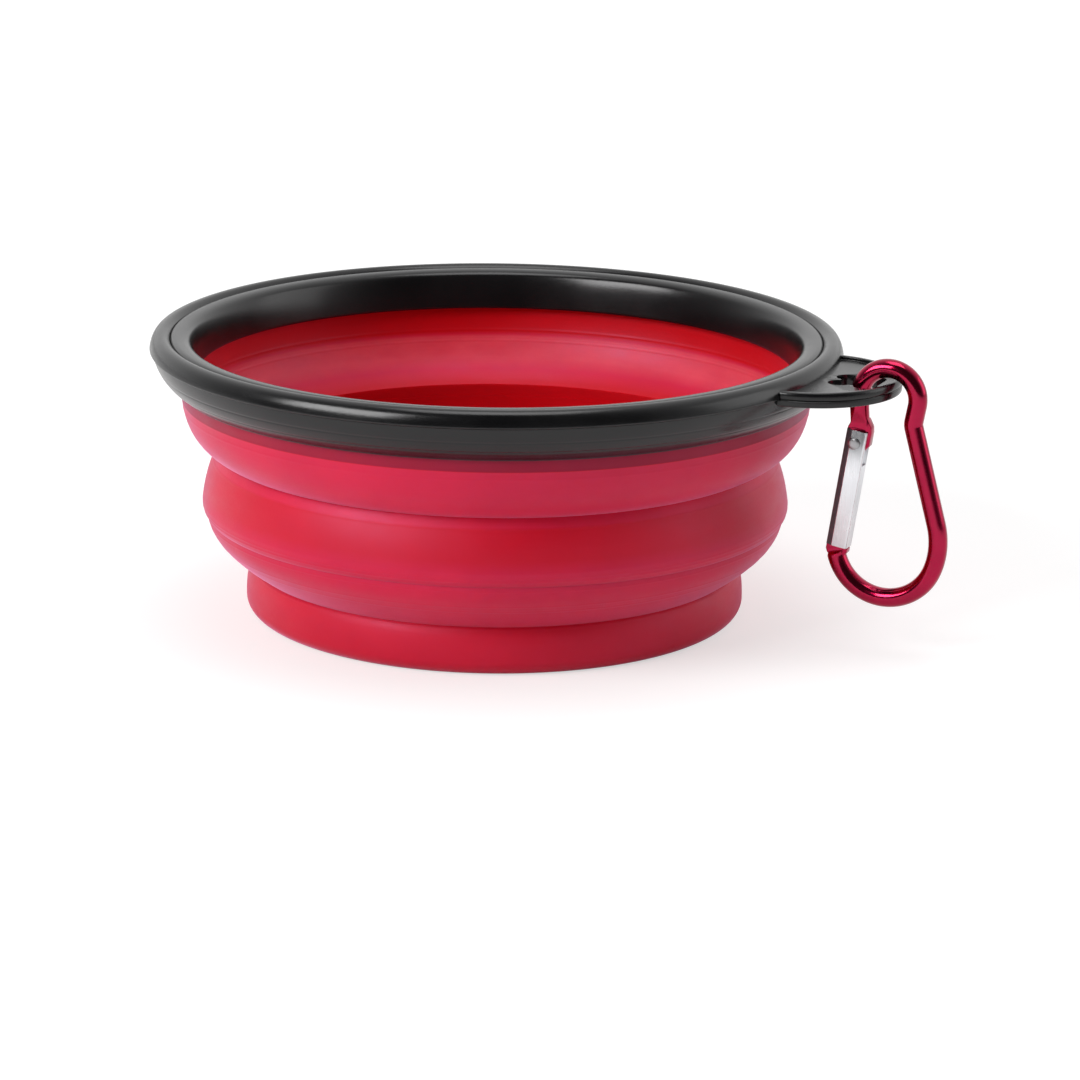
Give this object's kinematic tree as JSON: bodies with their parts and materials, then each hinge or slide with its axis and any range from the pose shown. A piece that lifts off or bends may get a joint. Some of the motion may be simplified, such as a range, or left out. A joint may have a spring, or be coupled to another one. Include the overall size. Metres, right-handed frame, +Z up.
{
  "type": "collapsible bowl",
  "caption": "Round collapsible silicone travel bowl with a stiff plastic rim, folding walls, a hanging tab with a bone-shaped hole and a small spring-gate snap hook.",
  "frame": {"origin": "centre of the bowl's flat underside", "axes": "+Z up along the bowl's axis, +X from the axis through the middle of the rim's hanging tab"},
  "size_m": [0.1547, 0.13, 0.0558],
  "materials": {
    "rim_plastic": "satin moulded black",
    "silicone": "satin moulded red silicone",
    "hook_red": "polished and dyed red anodised",
    "gate_silver": "satin silver anodised",
    "rivet_steel": "tumbled steel",
    "spring_steel": "drawn steel wire"
  },
  "bodies": {
    "rim": {"outer_rim": "rim_plastic", "inner_rim": "rim_plastic", "silicone_flange": "silicone"},
    "middle": {"middle_band": "silicone", "upper_web": "silicone"},
    "base": {"base_cup": "silicone", "lower_web": "silicone"},
    "carabiner": {"carabiner_body": "hook_red", "gate_rivet": "rivet_steel"},
    "gate": {"carabiner_gate": "gate_silver", "gate_spring": "spring_steel"},
    "plunger": {"spring_plunger": "spring_steel"}
  },
  "joints": [
    {"name": "upper_fold", "type": "slide", "parent": "rim", "child": "middle", "axis": [0, 0, 1], "range_m": [0, 0.022], "deforming": ["upper_web"]},
    {"name": "lower_fold", "type": "slide", "parent": "middle", "child": "base", "axis": [0, 0, 1], "range_m": [0, 0.017], "deforming": ["lower_web"]},
    {"name": "hook_swing", "type": "hinge", "parent": "rim", "child": "carabiner", "pos_m": [0.0776, 0, 0.0504], "axis": [0, -1, 0], "range_deg": [-15, 212]},
    {"name": "gate_hinge", "type": "hinge", "parent": "carabiner", "child": "gate", "pos_m": [0.07185, 0, 0.03993], "axis": [0, -1, 0], "range_deg": [0, 30], "stiffness_Nm_per_rad": 0.03, "springref_deg": -20.05},
    {"name": "plunger_slide", "type": "slide", "parent": "gate", "child": "plunger", "axis": [-0.148, 0, -0.989], "range_m": [0, 0.0009], "deforming": ["gate_spring"]}
  ],
  "couplings": [
    {"joint": "plunger_slide", "follows": "gate_hinge", "m_per_rad": 0.001623}
  ]
}
